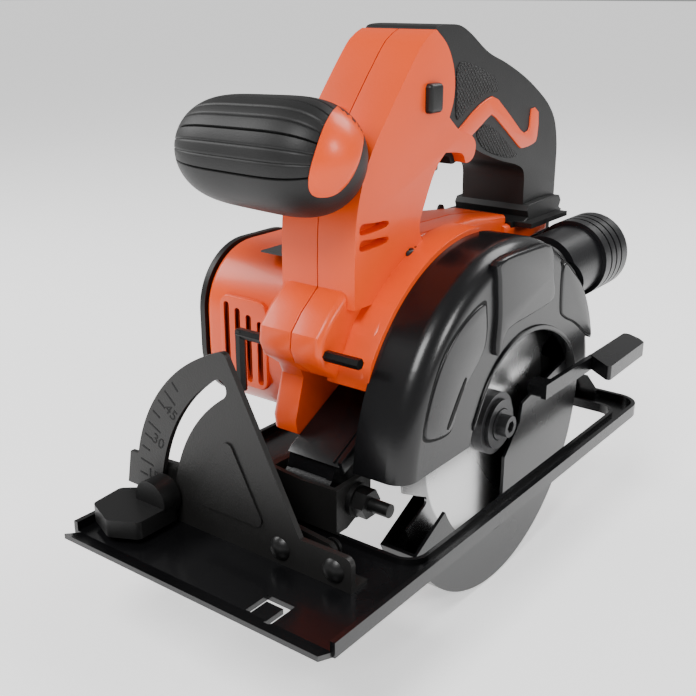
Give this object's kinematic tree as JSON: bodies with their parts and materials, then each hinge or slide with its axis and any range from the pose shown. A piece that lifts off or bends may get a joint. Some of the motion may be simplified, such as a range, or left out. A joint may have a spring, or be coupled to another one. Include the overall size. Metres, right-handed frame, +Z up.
{
  "type": "circular saw",
  "caption": "Battery circular saw with a tilting, depth-adjustable body on a flat shoe, a retracting lower blade guard, rear handle and front bulb grip.",
  "frame": {"origin": "where the blade's middle plane crosses the shoe's underside, straight below the arbor", "axes": "+X along the arbor out of the blade side, -Y the cutting direction, +Z up from the shoe"},
  "size_m": [0.1499, 0.275, 0.2504],
  "materials": {
    "shoe_steel": "semi-gloss black paint on stamped steel",
    "quadrant_steel": "dark grey satin paint",
    "bracket_steel": "dark grey satin coat on bent sheet",
    "fastener_steel": "zinc plated",
    "lever_plastic": "fine matt moulded",
    "guard_black": "gloss black",
    "port_plastic": "satin moulded",
    "blade_steel": "brushed in rings",
    "flange_steel": "dark machined",
    "case_alloy": "as cast",
    "motor_steel": "plated",
    "copper": "bright",
    "inner_plastic": "moulded",
    "housing_orange": "satin moulded orange",
    "grip_rubber": "soft textured",
    "black_plastic": "fine texture",
    "label_black": "blank plate",
    "key_steel": "black oxide"
  },
  "bodies": {
    "base": {"shoe": "shoe_steel", "bevel_quadrant": "quadrant_steel", "quadrant_rivets": "fastener_steel", "rear_bevel_ear": "shoe_steel", "bevel_hinge_pins": "fastener_steel"},
    "bevel_frame": {"bevel_bracket": "bracket_steel", "rear_bracket": "bracket_steel", "depth_hinge_bolt": "fastener_steel", "bevel_clamp_bolt": "fastener_steel"},
    "bevel_lever": {"bevel_lever": "lever_plastic"},
    "saw_body": {"housing_left": "housing_orange", "housing_right": "housing_orange", "housing_screws": "fastener_steel", "main_grip": "grip_rubber", "front_grip": "grip_rubber", "front_grip_cap": "housing_orange", "motor_end_cap": "black_plastic", "label_plate": "label_black", "battery_dock": "black_plastic", "terminal_block": "copper", "switch_body": "inner_plastic", "trigger_pin": "fastener_steel", "front_arm": "guard_black", "upper_guard": "guard_black", "dust_port": "port_plastic", "gear_case": "case_alloy", "gear_cover": "case_alloy", "guard_retaining_ring": "fastener_steel", "guard_spring": "flange_steel", "spindle_front_bearing": "flange_steel", "spindle_rear_bearing": "flange_steel", "motor_front_bearing": "flange_steel", "motor_rear_bearing": "flange_steel", "motor_can": "motor_steel", "motor_magnets": "motor_steel", "brush_holder": "inner_plastic", "depth_clamp_bolt": "fastener_steel"},
    "depth_lever": {"depth_lever": "lever_plastic"},
    "blade_spindle": {"spindle": "flange_steel", "spindle_gear": "flange_steel", "inner_flange": "flange_steel", "blade": "blade_steel", "outer_flange": "flange_steel", "blade_bolt": "flange_steel"},
    "layshaft": {"layshaft_gears": "flange_steel"},
    "rotor": {"motor_shaft": "flange_steel", "rotor_core": "motor_steel", "commutator": "copper", "cooling_fan": "inner_plastic"},
    "lower_guard": {"lower_guard": "guard_black", "guard_lever": "guard_black"},
    "trigger": {"trigger": "lever_plastic"},
    "lock_off_button": {"lock_off_button": "lever_plastic"},
    "spindle_lock_button": {"spindle_lock_button": "lever_plastic"},
    "hex_key": {"hex_key": "key_steel"}
  },
  "joints": [
    {"name": "bevel_tilt", "type": "hinge", "parent": "base", "child": "bevel_frame", "pos_m": [-0.009, -0.119, 0.0065], "axis": [0, 1, 0], "range_deg": [0, 45]},
    {"name": "bevel_clamp_turn", "type": "hinge", "parent": "bevel_frame", "child": "bevel_lever", "pos_m": [-0.08309, -0.128, 0.01429], "axis": [0, 1, 0], "range_deg": [0, 25]},
    {"name": "depth_swing", "type": "hinge", "parent": "bevel_frame", "child": "saw_body", "pos_m": [-0.04, -0.0805, 0.0165], "axis": [1, 0, 0], "range_deg": [0, 25]},
    {"name": "depth_clamp_turn", "type": "hinge", "parent": "saw_body", "child": "depth_lever", "pos_m": [-0.066, 0.03199, 0.04041], "axis": [1, 0, 0], "range_deg": [0, 50]},
    {"name": "blade_spin", "type": "hinge", "parent": "saw_body", "child": "blade_spindle", "pos_m": [0, 0, 0.027], "axis": [1, 0, 0], "continuous": true},
    {"name": "layshaft_spin", "type": "hinge", "parent": "saw_body", "child": "layshaft", "pos_m": [-0.04, -0.01439, 0.0443], "axis": [1, 0, 0], "continuous": true},
    {"name": "motor_spin", "type": "hinge", "parent": "saw_body", "child": "rotor", "pos_m": [-0.08, -0.0205, 0.0625], "axis": [1, 0, 0], "continuous": true},
    {"name": "guard_retract", "type": "hinge", "parent": "saw_body", "child": "lower_guard", "pos_m": [-0.009, 0, 0.027], "axis": [1, 0, 0], "range_deg": [0, 90], "stiffness_Nm_per_rad": 0.12, "springref_deg": -34.38},
    {"name": "trigger_pull", "type": "hinge", "parent": "saw_body", "child": "trigger", "pos_m": [-0.042, -0.005, 0.151], "axis": [1, 0, 0], "range_deg": [0, 7], "stiffness_Nm_per_rad": 0.5, "springref_deg": -5.73},
    {"name": "lock_off_press", "type": "slide", "parent": "saw_body", "child": "lock_off_button", "axis": [-1, 0, 0], "range_m": [0, 0.003], "stiffness_N_per_m": 400, "springref_m": -0.001},
    {"name": "spindle_lock_press", "type": "slide", "parent": "saw_body", "child": "spindle_lock_button", "axis": [-1, 0, 0], "range_m": [0, 0.003], "stiffness_N_per_m": 400, "springref_m": -0.001},
    {"name": "hex_key_pull", "type": "slide", "parent": "saw_body", "child": "hex_key", "axis": [-1, 0, 0], "range_m": [0, 0.06]}
  ],
  "couplings": [
    {"joint": "layshaft_spin", "follows": "blade_spin", "ratio": -1.8125},
    {"joint": "motor_spin", "follows": "blade_spin", "ratio": 5.4375}
  ]
}
